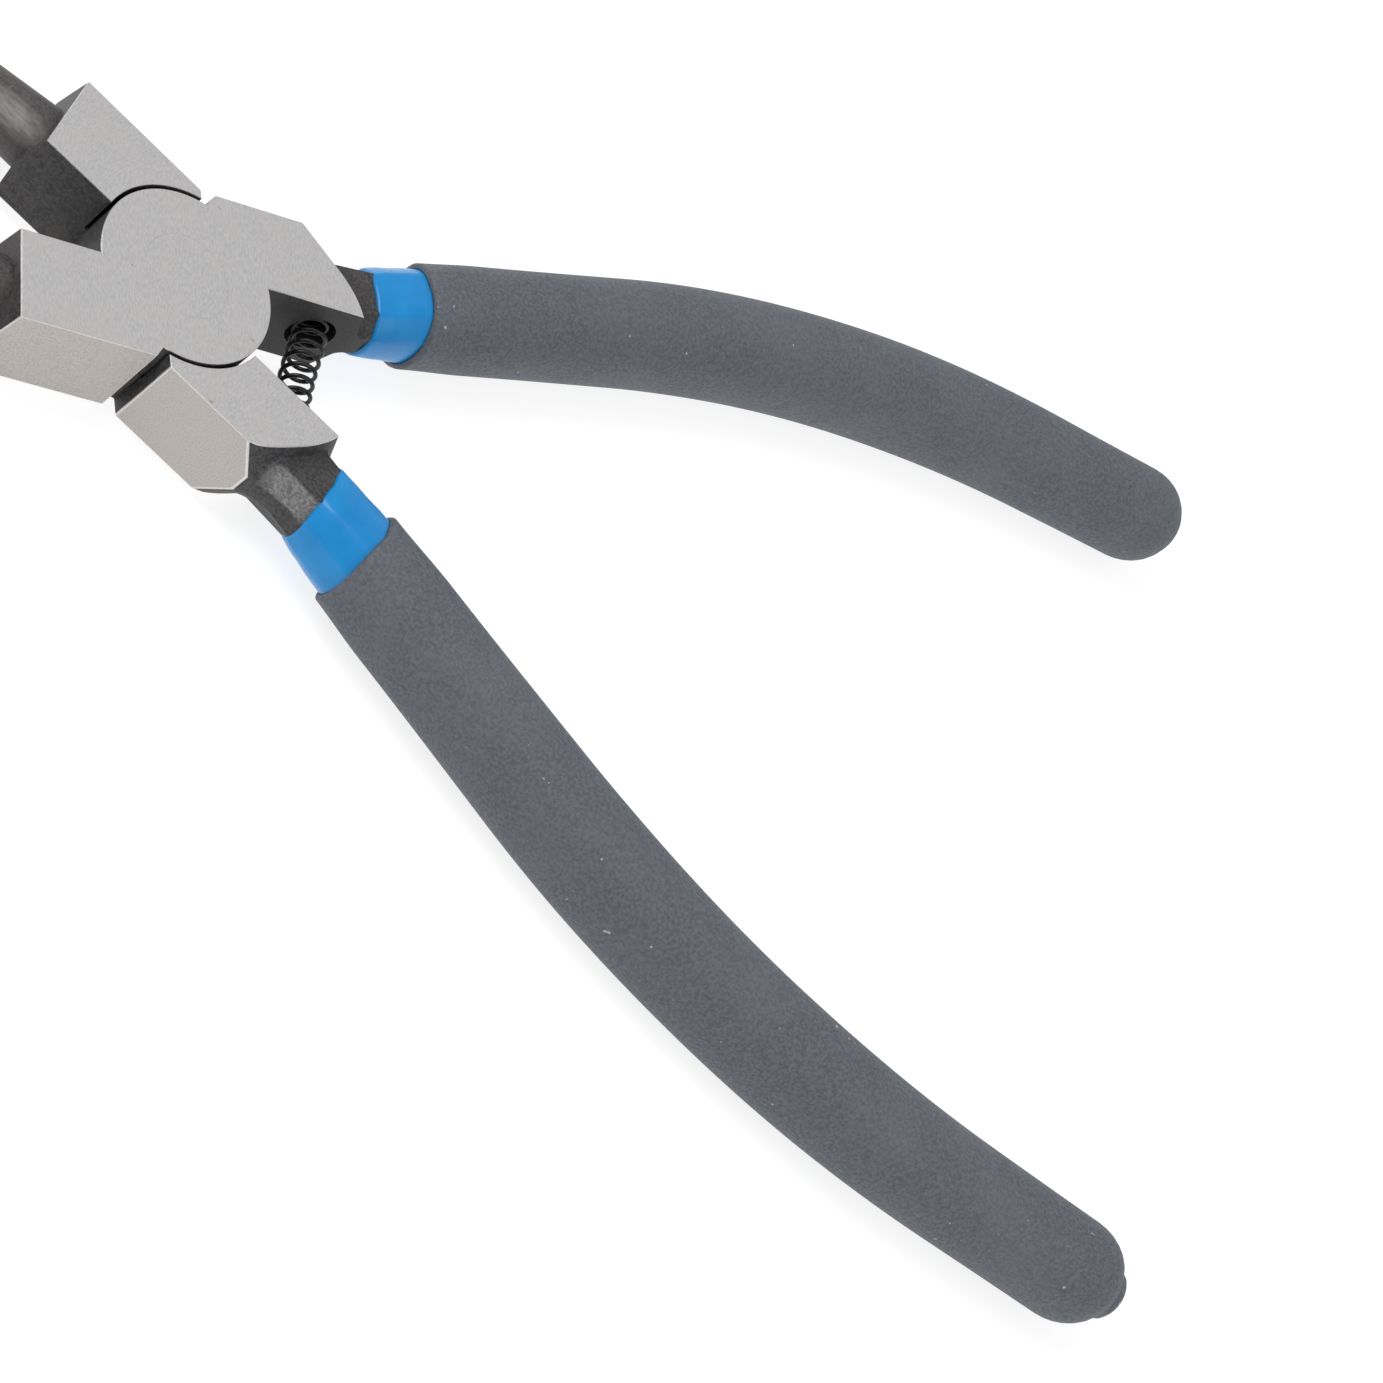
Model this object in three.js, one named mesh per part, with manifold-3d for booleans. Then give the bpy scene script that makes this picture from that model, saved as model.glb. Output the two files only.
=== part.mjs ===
// Internal straight circlip pliers, 180 mm long when closed.
//
// Two identical drop forgings cross at a half-lap joint and turn on a flush rivet. Each one is a
// round tapered nose with a pressed-in tip pin, a square jaw block, half of the round boss, a
// shoulder block and a long bar that two coats of dipped plastic cover. A small coil spring between
// the shoulders opens the pliers. Squeezing the bars together brings the noses together.
//
// Units are millimetres and +Z is up. The origin is on the pivot axis, on the underside of the head.
// +X runs along the pliers towards the grips, and +Y is the front half's grip side. The model is
// stored open, with the spring relaxed.
//
// One half is drawn closed, with its bar on +y, its jaw on -y and z = 0 at the middle of the head.
// The front half is that shape turned open. The back half is the same shape turned over and
// turned open the other way.

import * as THREE from 'three';
import { mergeVertices } from 'three/addons/utils/BufferGeometryUtils.js';
import Module from 'manifold-3d';

const wasm = await Module();
wasm.setup();

const degree = Math.PI / 180;

// Head
const headThickness = 9.4;
const bossRadius = 9.1;
const bossGap = 0.25; // radial gap between one half's boss and the other half's blocks
const lapGap = 0.1; // gap between the two half laps
const openAngle = 36; // between the halves with the spring relaxed
const bossSides = 72;

// Jaw block, seen along the pivot with the pliers closed
const jawInner = -0.15;
const jawOuter = -9.6;
const jawFrontInner = -17.4;
const jawFrontOuter = -18.1;
const jawBack = -3.95;
const jawBackSlant = 0.75; // how far the back face leans towards the boss
const frontDraft = 7.9; // the forged front face slopes back above and below the parting line

// Shoulder block
const shoulderInner = 1.3;
const shoulderOuter = 10;
const shoulderFront = 3.98;
const shoulderFrontSlant = 1.03;
const shoulderReach = 22;

// The back of the shoulder is turned: [distance from the turning axis, place along it].
const turningAxis = 1;
const turnedTip = 21.5;
const turnedEnd = [
  [3, 20.9],
  [4.7, 19.7],
  [7, 17.7],
  [9, 16],
  [10.15, 13.56],
  [10.6, 12.4],
];

// Rivet
const rivetRadius = 3.5;
const rivetHeadRadius = 4.4;
const rivetHeadDepth = 0.9;
const rivetGap = 0.05;
const rivetSides = 48;

// Nose and tip pin
const noseRoot = [-17.7, -4.24];
const noseHeading = 180 - 5.4;
const noseRootRadius = 3.52;
const noseTipRadius = 1.69;
const noseLength = 25.4;
const noseEmbed = 3;
const noseSides = 32;
const tipChamfer = 0.25;
const pinRadius = 0.9;
const pinGap = 0.03;
const pinDepth = 5;
const pinReach = 5.5;

// Bar: a straight neck, one bend and a straight tail. Distances run from the collar's front edge.
const collarStart = [22.4, 5.3];
const barHeading = 12;
const bendStart = 33;
const bendRadius = 140;
const bendAngle = 23.5;
const neckEmbed = 8;
const barEnd = 105.5;
const barRound = 4; // length of the rounded end
const gripEnd = 109.8;
const gripStart = 6.2;
const barSides = 16;
const barStep = 6;

// Steel bar: [distance, half width, half height, how octagonal it is].
const barSections = [
  [-neckEmbed, 3.7, 3.8, 1],
  [0, 3.7, 3.8, 1],
  [6, 4, 4.1, 0.5],
  [14, 4.15, 4.4, 0],
  [45, 4.25, 4.85, 0],
  [65, 4.2, 4.85, 0],
  [barEnd, 4.05, 4.4, 0],
];

// Dipped coats
const coatGap = 0.1;
const innerCoat = 0.33;
const outerCoat = 0.52;
const innerEndCoat = 1.5;
const sectionSquareness = 2.15; // superellipse power of the coated bar

// Return spring, on an arc that leads into both pockets
const springArcRadius = 36;
const springMiddle = 15.6;
const springReach = 9;
const springTurns = 12;
const springCoilRadius = 1.5;
const springWireRadius = 0.2;
const springSteps = 168;
const pocketRadius = 2.45;
const pocketPlace = 16.8;
const pocketDepth = 3;

// ---------------------------------------------------------------- solids

function toSolid(geometry) {
  const bare = geometry.clone();
  bare.deleteAttribute('normal');
  bare.deleteAttribute('uv');
  const merged = mergeVertices(bare, 1e-4);
  const triangles = [];
  const index = merged.index.array;
  for (let i = 0; i < index.length; i += 3) {
    const [a, b, c] = [index[i], index[i + 1], index[i + 2]];
    if (a !== b && b !== c && c !== a) {
      triangles.push(a, b, c);
    }
  }
  return new wasm.Manifold(new wasm.Mesh({
    numProp: 3,
    vertProperties: merged.attributes.position.array,
    triVerts: Uint32Array.from(triangles),
  }));
}

function toGeometry(solid) {
  const mesh = solid.getMesh();
  const geometry = new THREE.BufferGeometry();
  geometry.setAttribute('position', new THREE.BufferAttribute(new Float32Array(mesh.vertProperties), 3));
  geometry.setIndex(Array.from(mesh.triVerts));
  geometry.computeVertexNormals();
  return geometry;
}

// A plate of an outline, from z = low to z = high.
function plate(outline, low, high) {
  const geometry = new THREE.ExtrudeGeometry(outline, {
    depth: high - low,
    bevelEnabled: false,
    curveSegments: bossSides / 2,
  });
  return toSolid(geometry.translate(0, 0, low));
}

// A round solid turned about the Z axis from its [radius, z] profile.
function turned(profile, sides) {
  const points = profile.map(([radius, z]) => new THREE.Vector2(radius, z));
  return new THREE.LatheGeometry(points, sides).rotateX(Math.PI / 2);
}

// Moves what is built along +Z so that it runs from a point in the middle plane along a heading.
function along(geometry, [x, y], heading) {
  return geometry
    .rotateY(Math.PI / 2)
    .rotateZ(heading * degree)
    .translate(x, y, 0);
}

// A block that covers everything beyond a plane, to cut with.
function beyond(point, outward) {
  const size = 60; // larger than anything it has to cover
  const block = new THREE.BoxGeometry(size, size, size).translate(0, 0, size / 2);
  const turn = new THREE.Quaternion().setFromUnitVectors(new THREE.Vector3(0, 0, 1), outward);
  block.applyQuaternion(turn).translate(point.x, point.y, point.z);
  return toSolid(block);
}

// ---------------------------------------------------------------- the bar's line and sections

// The bar's middle and heading at a distance from the collar's front edge.
function barPlace(distance) {
  const start = barHeading * degree;
  const bendLength = bendRadius * bendAngle * degree;
  const bent = THREE.MathUtils.clamp(distance - bendStart, 0, bendLength);
  const heading = start - bent / bendRadius;
  const before = Math.min(distance, bendStart);
  const after = Math.max(distance - bendStart - bendLength, 0);
  const x = collarStart[0] + before * Math.cos(start)
    + bendRadius * (Math.sin(start) - Math.sin(heading)) + after * Math.cos(heading);
  const y = collarStart[1] + before * Math.sin(start)
    + bendRadius * (Math.cos(heading) - Math.cos(start)) + after * Math.sin(heading);
  return { x, y, heading };
}

// The steel bar's half width, half height and octagonal share at a distance.
function barSize(distance) {
  let i = 1;
  while (i < barSections.length - 1 && barSections[i][0] < distance) {
    i += 1;
  }
  const [from, to] = [barSections[i - 1], barSections[i]];
  const share = THREE.MathUtils.smoothstep(distance, from[0], to[0]);
  return from.map((value, k) => THREE.MathUtils.lerp(value, to[k], share));
}

// How far the section reaches at an angle, for half sizes of 1.
function sectionReach(angle, octagonal) {
  const eighth = Math.PI / 4;
  const fromFlat = angle - eighth * Math.round(angle / eighth);
  const octagon = 1 / Math.cos(fromFlat);
  const power = sectionSquareness;
  const soft = (Math.abs(Math.cos(angle)) ** power + Math.abs(Math.sin(angle)) ** power) ** (-1 / power);
  return THREE.MathUtils.lerp(soft, octagon, octagonal);
}

// Stations from start to end: [distance, scale], with the last stretch rounded off.
function stations(start, end, roundLength) {
  const list = [];
  const straight = end - roundLength - start;
  const count = Math.ceil(straight / barStep);
  for (let i = 0; i <= count; i += 1) {
    list.push([start + straight * i / count, 1]);
  }
  const roundSteps = 6;
  const lastAngle = 80 * degree;
  for (let i = 1; i <= roundSteps; i += 1) {
    const angle = lastAngle * i / roundSteps;
    const left = 1 - Math.sin(angle) / Math.sin(lastAngle);
    list.push([end - roundLength * left, Math.cos(angle)]);
  }
  return list;
}

// A capped cylinder whose rings are moved onto the bar's sections, made larger all round by margin.
function barBody(list, margin) {
  const geometry = new THREE.CylinderGeometry(1, 1, 1, barSides, list.length - 1);
  const position = geometry.attributes.position;
  for (let i = 0; i < position.count; i += 1) {
    const [px, py, pz] = [position.getX(i), position.getY(i), position.getZ(i)];
    const [distance, scale] = list[Math.round((py + 0.5) * (list.length - 1))];
    const place = barPlace(distance);
    const [, halfWidth, halfHeight, octagonal] = barSize(Math.min(distance, barEnd));
    const angle = Math.atan2(pz, px);
    const reach = Math.hypot(px, pz) * sectionReach(angle, octagonal) * scale;
    const side = (halfWidth + margin) * reach * Math.cos(angle);
    const up = (halfHeight + margin) * reach * Math.sin(angle);
    position.setXYZ(
      i,
      place.x + side * Math.sin(place.heading),
      place.y - side * Math.cos(place.heading),
      up,
    );
  }
  return toSolid(geometry);
}

// ---------------------------------------------------------------- one forging, drawn closed

// The whole head of one half seen along the pivot: jaw block, boss and shoulder block.
function headOutline() {
  const onBoss = (y) => Math.sqrt(bossRadius ** 2 - y ** 2);
  const jawRoot = new THREE.Vector2(jawBack + jawBackSlant, -onBoss(jawBack + jawBackSlant));
  const notchX = shoulderFront - shoulderFrontSlant;
  const notch = new THREE.Vector2(notchX, onBoss(notchX));
  const outline = new THREE.Shape();
  outline.moveTo(-onBoss(jawInner), jawInner);
  outline.lineTo(jawFrontInner - 1, jawInner);
  outline.lineTo(jawFrontOuter - 1, jawOuter);
  outline.lineTo(jawBack, jawOuter);
  outline.lineTo(jawRoot.x, jawRoot.y);
  outline.absarc(0, 0, bossRadius, jawRoot.angle(), Math.asin(shoulderInner / bossRadius), false);
  outline.lineTo(shoulderReach, shoulderInner);
  outline.lineTo(shoulderReach, shoulderOuter);
  outline.lineTo(shoulderFront, shoulderOuter);
  outline.lineTo(notch.x, notch.y);
  outline.absarc(0, 0, bossRadius, notch.angle(), Math.PI - Math.asin(jawInner / bossRadius), false);
  return outline;
}

// The forged front face stands out most at the parting line, half way up.
function cutFront(head) {
  const edge = new THREE.Vector3(jawFrontOuter - jawFrontInner, jawOuter - jawInner, 0).normalize();
  const outward = new THREE.Vector3(edge.y, -edge.x, 0);
  const bulge = headThickness / 2 * Math.tan(frontDraft * degree);
  const middle = new THREE.Vector3(jawFrontInner, jawInner, 0).addScaledVector(outward, bulge);
  let result = head;
  for (const side of [-1, 1]) {
    const tilted = outward.clone().multiplyScalar(Math.cos(frontDraft * degree));
    tilted.z = side * Math.sin(frontDraft * degree);
    result = result.subtract(beyond(middle, tilted));
  }
  return result;
}

// The shoulder's back end follows a turned surface whose axis lies along the pliers.
function turnedEndBody() {
  const far = 40; // well outside the head
  const curvePoints = 10;
  const lastPlace = turnedEnd[turnedEnd.length - 1][1];
  const curve = new THREE.SplineCurve(turnedEnd.map(([radius, place]) => new THREE.Vector2(radius, place)));
  const end = curve.getPoints(curvePoints).map((point) => [point.x, point.y]);
  const profile = [[0, -far], [far, -far], [far, lastPlace], ...end.reverse(), [0, turnedTip]];
  return toSolid(along(turned(profile, bossSides), [0, turningAxis], 0));
}

// Room for the other half's boss, in the lower half of the head.
function lapRoom() {
  const low = -headThickness / 2 - 1;
  const high = lapGap / 2;
  const room = new THREE.CylinderGeometry(bossRadius + bossGap, bossRadius + bossGap, high - low, bossSides);
  return toSolid(room.rotateX(Math.PI / 2).translate(0, 0, (low + high) / 2));
}

// The rivet's body with a countersunk head at each end, made larger all round by margin.
function rivetGeometry(margin) {
  const half = headThickness / 2 + (margin > 0 ? 1 : 0);
  const neck = headThickness / 2 - rivetHeadDepth;
  const shank = rivetRadius + margin;
  const head = rivetHeadRadius + margin + (half - headThickness / 2);
  return turned([[0, -half], [head, -half], [shank, -neck], [shank, neck], [head, half], [0, half]], rivetSides);
}

function springPocket() {
  const start = shoulderInner - 2;
  const length = 2 + pocketDepth;
  const hole = turned([[0, 0], [pocketRadius, 0], [pocketRadius, length], [0, length]], noseSides);
  return toSolid(along(hole, [pocketPlace, start], 90));
}

function nose() {
  const body = turned([
    [0, -noseEmbed],
    [noseRootRadius, -noseEmbed],
    [noseRootRadius, 0],
    [noseTipRadius, noseLength - tipChamfer],
    [noseTipRadius - tipChamfer, noseLength],
    [0, noseLength],
  ], noseSides);
  const bore = pinRadius + pinGap;
  const bottom = noseLength - pinDepth - pinGap;
  const hole = turned([[0, bottom], [bore, bottom], [bore, noseLength + 1], [0, noseLength + 1]], noseSides);
  return toSolid(along(body, noseRoot, noseHeading)).subtract(toSolid(along(hole, noseRoot, noseHeading)));
}

function forging() {
  const half = headThickness / 2;
  const neckInner = new THREE.Vector3(shoulderReach, shoulderInner, 0);
  const bar = barBody(stations(-neckEmbed, barEnd, barRound), 0);
  const cleanBar = bar.subtract(beyond(neckInner, new THREE.Vector3(0, -1, 0)));
  const head = cutFront(plate(headOutline(), -half, half)).intersect(turnedEndBody());
  return head
    .subtract(lapRoom())
    .add(cleanBar)
    .add(nose())
    .subtract(springPocket())
    .subtract(toSolid(rivetGeometry(rivetGap)));
}

// ---------------------------------------------------------------- the pieces fitted to a forging

// A coat over the bar, from an open front end to a closed round end.
function coat(start, end, margin, insideEnd, insideMargin) {
  const openEnd = 1; // the hollow runs out past the front
  const outside = barBody(stations(start, end, barRound + margin), margin);
  const inside = barBody(stations(start - openEnd, insideEnd, barRound + insideMargin), insideMargin);
  return outside.subtract(inside);
}

function innerSleeve() {
  return coat(0, barEnd + innerEndCoat, coatGap + innerCoat, barEnd + coatGap, coatGap);
}

function outerGrip() {
  const hollow = 2 * coatGap + innerCoat;
  return coat(gripStart, gripEnd, hollow + outerCoat, barEnd + innerEndCoat + coatGap, hollow);
}

function tipPin() {
  const bottom = noseLength - pinDepth;
  const end = noseLength + pinReach;
  const chamfer = 0.2;
  const pin = turned([
    [0, bottom],
    [pinRadius, bottom],
    [pinRadius, end - chamfer],
    [pinRadius - chamfer, end],
    [0, end],
  ], noseSides);
  return toSolid(along(pin, noseRoot, noseHeading));
}

// The spring's wire winds round an arc in the middle plane that leads into both pockets.
class SpringLine extends THREE.Curve {
  getPoint(t, target = new THREE.Vector3()) {
    const sweep = Math.asin(springReach / springArcRadius);
    const across = THREE.MathUtils.lerp(-sweep, sweep, t);
    const turn = 2 * Math.PI * springTurns * t;
    const reach = springArcRadius + springCoilRadius * Math.cos(turn);
    const centre = springMiddle - springArcRadius;
    return target.set(
      centre + reach * Math.cos(across),
      reach * Math.sin(across),
      springCoilRadius * Math.sin(turn),
    );
  }
}

function springGeometry() {
  const wire = new THREE.Shape();
  const wireSides = 8;
  for (let i = 0; i < wireSides; i += 1) {
    const angle = 2 * Math.PI * i / wireSides;
    const [x, y] = [springWireRadius * Math.cos(angle), springWireRadius * Math.sin(angle)];
    if (i === 0) {
      wire.moveTo(x, y);
    } else {
      wire.lineTo(x, y);
    }
  }
  const options = { steps: springSteps, bevelEnabled: false, extrudePath: new SpringLine() };
  return new THREE.ExtrudeGeometry(wire, options);
}

// ---------------------------------------------------------------- materials

function material(colour, roughness, metalness) {
  return new THREE.MeshStandardMaterial({ color: colour, roughness, metalness });
}

const groundSteel = material(0xb9b7b4, 0.42, 1);
const rivetSteel = material(0xbdbbb8, 0.4, 1);
const pinSteel = material(0x8f8d8a, 0.35, 1);
const springSteel = material(0x17171a, 0.4, 0.6);
const blueCoat = material(0x1f83c6, 0.25, 0);
const greyCoat = material(0x5a5f66, 0.75, 0);

// ---------------------------------------------------------------- assembly

function named(name, geometry, finish) {
  const mesh = new THREE.Mesh(geometry, finish);
  mesh.name = name;
  return mesh;
}

// One half with everything fixed to it, drawn closed.
function half(prefix) {
  const group = new THREE.Group();
  group.add(named(`${prefix}_half_forging`, toGeometry(forging()), groundSteel));
  group.add(named(`${prefix}_tip_pin`, toGeometry(tipPin()), pinSteel));
  group.add(named(`${prefix}_inner_sleeve`, toGeometry(innerSleeve()), blueCoat));
  group.add(named(`${prefix}_outer_grip`, toGeometry(outerGrip()), greyCoat));
  return group;
}

const pliers = new THREE.Group();
pliers.position.z = headThickness / 2;

const frontHalf = half('front');
frontHalf.rotation.z = openAngle / 2 * degree;
pliers.add(frontHalf);

const backHalf = half('back');
backHalf.rotation.x = Math.PI;
const backTurn = new THREE.Group();
backTurn.rotation.z = -openAngle / 2 * degree;
backTurn.add(backHalf);
pliers.add(backTurn);

pliers.add(named('pivot_rivet', toGeometry(toSolid(rivetGeometry(0))), rivetSteel));
pliers.add(named('return_spring', toGeometry(toSolid(springGeometry())), springSteel));

export default pliers;
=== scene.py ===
"""The looks of a pair of internal straight circlip pliers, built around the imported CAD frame.

Two drop forgings cross at a half-lap joint. Their flat outer faces are ground bright and the rest is
black phosphate. Each bar is dipped twice, in glossy blue vinyl and then in matt grey vinyl.

One half is modelled in millimetres, closed and lying flat: its bar is on +y, its jaw on -y, and z = 0
is the middle of the head. The front half is that shape turned open. The back half is the same shape
turned over and turned open the other way.
"""

import math

import bmesh
import bpy
from mathutils import Euler, Matrix, Vector


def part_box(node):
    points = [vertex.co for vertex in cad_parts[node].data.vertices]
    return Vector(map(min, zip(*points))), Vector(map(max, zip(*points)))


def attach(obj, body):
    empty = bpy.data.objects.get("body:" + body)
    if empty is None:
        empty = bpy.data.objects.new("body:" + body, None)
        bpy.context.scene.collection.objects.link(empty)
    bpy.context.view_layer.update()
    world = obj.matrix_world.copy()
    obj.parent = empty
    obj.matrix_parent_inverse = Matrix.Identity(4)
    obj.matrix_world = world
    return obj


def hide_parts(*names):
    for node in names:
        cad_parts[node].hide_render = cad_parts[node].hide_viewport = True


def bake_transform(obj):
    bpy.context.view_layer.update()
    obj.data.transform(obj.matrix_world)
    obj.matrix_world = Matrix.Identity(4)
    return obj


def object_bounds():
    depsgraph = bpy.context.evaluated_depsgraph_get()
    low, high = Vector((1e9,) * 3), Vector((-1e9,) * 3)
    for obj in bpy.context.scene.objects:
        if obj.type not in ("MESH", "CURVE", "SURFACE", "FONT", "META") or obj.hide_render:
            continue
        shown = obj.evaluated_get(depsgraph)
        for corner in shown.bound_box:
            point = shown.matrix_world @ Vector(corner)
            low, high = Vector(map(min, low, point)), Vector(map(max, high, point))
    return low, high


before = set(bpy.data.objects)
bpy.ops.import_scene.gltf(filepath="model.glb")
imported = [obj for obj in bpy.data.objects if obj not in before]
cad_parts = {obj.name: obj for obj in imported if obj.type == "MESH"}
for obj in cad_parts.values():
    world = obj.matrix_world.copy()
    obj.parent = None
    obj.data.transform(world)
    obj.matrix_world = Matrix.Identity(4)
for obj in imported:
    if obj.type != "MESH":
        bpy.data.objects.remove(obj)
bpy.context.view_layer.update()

MM = 0.001
PLACE = "place_in_half"
DEGREE = math.pi / 180

# Head. The thickness is read from the frame; everything else is in millimetres.
HALF_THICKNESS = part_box("pivot_rivet")[1].z / 2 / MM
BOSS_RADIUS = 9.1
BOSS_GAP = 0.36
LAP_GAP = 0.1
OPEN_ANGLE = 36
ARC_STEP = 3 * DEGREE

# Jaw block
JAW_INNER = -0.15
JAW_OUTER = -9.6
JAW_FRONT_INNER = -17.4
JAW_FRONT_OUTER = -18.1
JAW_BACK = -3.95
JAW_BACK_SLANT = 0.75
FRONT_DRAFT = 7.9 * DEGREE

# Shoulder block
SHOULDER_INNER = 1.3
SHOULDER_OUTER = 10
SHOULDER_FRONT = 3.98
SHOULDER_FRONT_SLANT = 1.03

# The back end of the shoulder, seen along the pivot, starts at the outer side with a straight slant
# and bends round towards the inner side. Its draft makes it stand out most half way up, where a flat
# band runs along the parting line. Pairs are for the front and the back half: no two forgings match.
END_CORNER = (13.7, 13.5)
END_SLANT = (0.8875, 0.93)
END_BULGE = (0, 2)
END_BULGE_LENGTH = 7
END_BEND = 6
END_CURVE = 0.077
END_DRAFT_OUTER = 0.7
END_DRAFT_INNER = 0.38
END_BAND = 1.2
END_STEPS = 16
PARTING_ROUND = 0.25
HEAD_HEIGHTS = (0.4, END_BAND, 2.6)

# Rivet
RIVET_RADIUS = 3.5
RIVET_HEAD_RADIUS = 4.4
RIVET_HEAD_DEPTH = 0.9
RIVET_GAP = 0.01

# Nose and tip pin
NOSE_ROOT = (-17.7, -4.24)
NOSE_HEADING = 180 - 5.4
NOSE_ROOT_RADIUS = 3.52
NOSE_TIP_RADIUS = 1.69
NOSE_LENGTH = 25.4
NOSE_EMBED = 3
NOSE_STEPS = 12
TIP_ROUND = 0.3
PIN_RADIUS = 0.9
PIN_GAP = 0.02
PIN_DEPTH = 5
PIN_REACH = 5.5
PIN_CHAMFER = 0.2
PIN_SIDES = 48
PIN_END = [
    # how far in from the pin's side, how far short of its end
    (0, 0.28), (0.06, 0.2), (0.2, 0.04), (0.3, 0),
]
TURNED_SHARP = 35 * DEGREE

# Bar: a straight neck, one bend and a straight tail. Distances run from the collar's front edge.
COLLAR_START = (22.4, 5.3)
BAR_HEADING = 12 * DEGREE
BEND_START = 33
BEND_RADIUS = 140
BEND_ANGLE = 23.5 * DEGREE
BAR_END = 105.5
BAR_SECTIONS = [
    # distance, half width, half height, how octagonal
    (-8, 3.75, 3.3, 1),
    (0, 3.75, 3.3, 1),
    (6, 4, 4, 0.5),
    (14, 4.15, 4.4, 0),
    (45, 4.25, 4.85, 0),
    (65, 4.2, 4.85, 0),
    (105.5, 4.05, 4.4, 0),
]
SECTION_SQUARENESS = 2.15
SIDE_FLAT = 0.414
TOP_FLAT = 0.577
SIDE_CORNER = 22.5 * DEGREE
TOP_CORNER = 60 * DEGREE
NECK_FLARE = 0.25
NECK_FLARE_LENGTH = 4.6
NECK_EMBED = 1.2
NECK_MIDDLE = -2
NECK_SEARCH = (-14, 3)
NECK_SEARCH_STEPS = 30
NECK_RINGS = (1.6, 3, 6, 9, 12, 16, 22, 28)
BAR_RING_STEP = 4
BAR_END_ROUND = 4
BAR_END_SWING = 84 * DEGREE
END_ROUND_STEPS = 6
FILLET_WIDTH = 0.3
FILLET_WIDTH_OUTER = 2
FILLET_SLOPE = 1.5
FILLET_POWER = 2.4
FILLET_STEPS = 10
FILLET_BELOW_TOP = 0.3
FILLET_LEAST = 0.05

# Spring pocket and spring
POCKET_RADIUS = 2.45
POCKET_PLACE = 16.8
POCKET_DEPTH = 3
SPRING_MIDDLE = 15.3
SPRING_REACH = 8.9
SPRING_BOW_OUT = 0.97
SPRING_BOW_IN = 1.12
SPRING_COIL_RADIUS = 1.62
SPRING_WIRE_RADIUS = 0.22
SPRING_TURNS = 14
SPRING_CLOSED_TURNS = 1.5
SPRING_CLOSED_PITCH = 1.08
SPRING_STEPS_PER_TURN = 28
SPRING_WIRE_SIDES = 12
NUDGE = 0.01

# Dipped coats: distances outwards from the steel
SLEEVE_INSIDE = 0.06
SLEEVE_OUTSIDE = 0.43
SLEEVE_END = 107.1
SLEEVE_LIP = 0.5
SLEEVE_BEAD = 0.07
GRIP_INSIDE = 0.45
GRIP_OUTSIDE = 1.0
GRIP_START = 6.1
GRIP_END = 109.8
GRIP_LIP = 0.4
COAT_GAP = 0.05
TAIL_ROUND = 4.6
TAIL_BLUNTNESS = 0.86
TAIL_SWING = 86 * DEGREE
TAIL_STEPS = 9
COAT_SOFTNESS = 0.65
DRIFT_FADE = 7
BEAD_STEPS = (0.4, 0.8, 1.2, 1.8, 2.6)
COAT_INSIDE_STEPS = 26
COAT_LIP_STEPS = 6
COAT_STEPS = 66

# How far behind its start each dip ends: all round, more on the outer side, less on the inner side,
# for the front and the back half. Ripples are a height, a number of waves and a phase.
SLEEVE_DIP = ((0, 0.9, 0.5), (0, 1.3, 1.3))
SLEEVE_RIPPLE = (0.1, 3, 1)
GRIP_DIP = ((0, 1.1, 0.8), (0.6, 0.7, 1.6))
GRIP_RIPPLE = (0.08, 2, 0.6)

# The drip at the end of the back half's grip
DRIP_FROM = 7
DRIP_STEPS = [
    # size as a share of the grip's, how far past its end
    (0.54, -0.74), (0.51, -0.55), (0.495, -0.25), (0.47, 0.05), (0.41, 0.35), (0.32, 0.53),
    (0.2, 0.63), (0.07, 0.66),
]

# Points round a section, and how far a cutting body runs past the surface it cuts
AROUND = 96
LAP_SIDES = 120
POCKET_SIDES = 64
CUT_PAST = 1


# ---------------------------------------------------------------- mesh tools

def to_object(name, points, faces):
    mesh = bpy.data.meshes.new(name)
    mesh.from_pydata([tuple(p) for p in points], [], faces)
    mesh.update()
    obj = bpy.data.objects.new(name, mesh)
    bpy.context.scene.collection.objects.link(obj)
    return obj


def outward(obj):
    """Turns every face of a closed mesh outwards."""
    bm = bmesh.new()
    bm.from_mesh(obj.data)
    bmesh.ops.recalc_face_normals(bm, faces=bm.faces)
    bm.to_mesh(obj.data)
    bm.free()
    return obj


def loft(name, rings):
    """A closed body through rings of equally many points, with a face across each end."""
    count = len(rings[0])
    points = [p for ring in rings for p in ring]
    faces = [tuple(range(count)), tuple(range(len(points) - count, len(points)))]
    for row in range(len(rings) - 1):
        for i in range(count):
            a = row * count + i
            b = row * count + (i + 1) % count
            faces.append((a, b, b + count, a + count))
    return outward(to_object(name, points, faces))


def turned(name, profile, sides=AROUND):
    """A round body about the Z axis through (radius, z) points, closed flat at both ends."""
    rings = []
    for radius, z in profile:
        ring = [2 * math.pi * i / sides for i in range(sides)]
        rings.append([(radius * math.cos(a), radius * math.sin(a), z) for a in ring])
    return loft(name, rings)


def smooth(obj):
    for polygon in obj.data.polygons:
        polygon.use_smooth = True
    return obj


def along(obj, place, heading):
    """Lays a body built along +Z in the middle plane, from a place along a heading in degrees."""
    move = Matrix.Translation((*place, 0)) @ Matrix.Rotation(heading * DEGREE, 4, "Z")
    obj.data.transform(move @ Matrix.Rotation(math.pi / 2, 4, "Y"))
    return obj


def combine(body, tool, operation):
    """Joins or cuts a body with a tool, which is used up."""
    step = body.modifiers.new("combine", "BOOLEAN")
    step.operation = operation
    step.solver = "EXACT"
    step.object = tool
    graph = bpy.context.evaluated_depsgraph_get()
    mesh = bpy.data.meshes.new_from_object(body.evaluated_get(graph))
    body.modifiers.clear()
    body.data = mesh
    bpy.data.objects.remove(tool)
    return body


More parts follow.
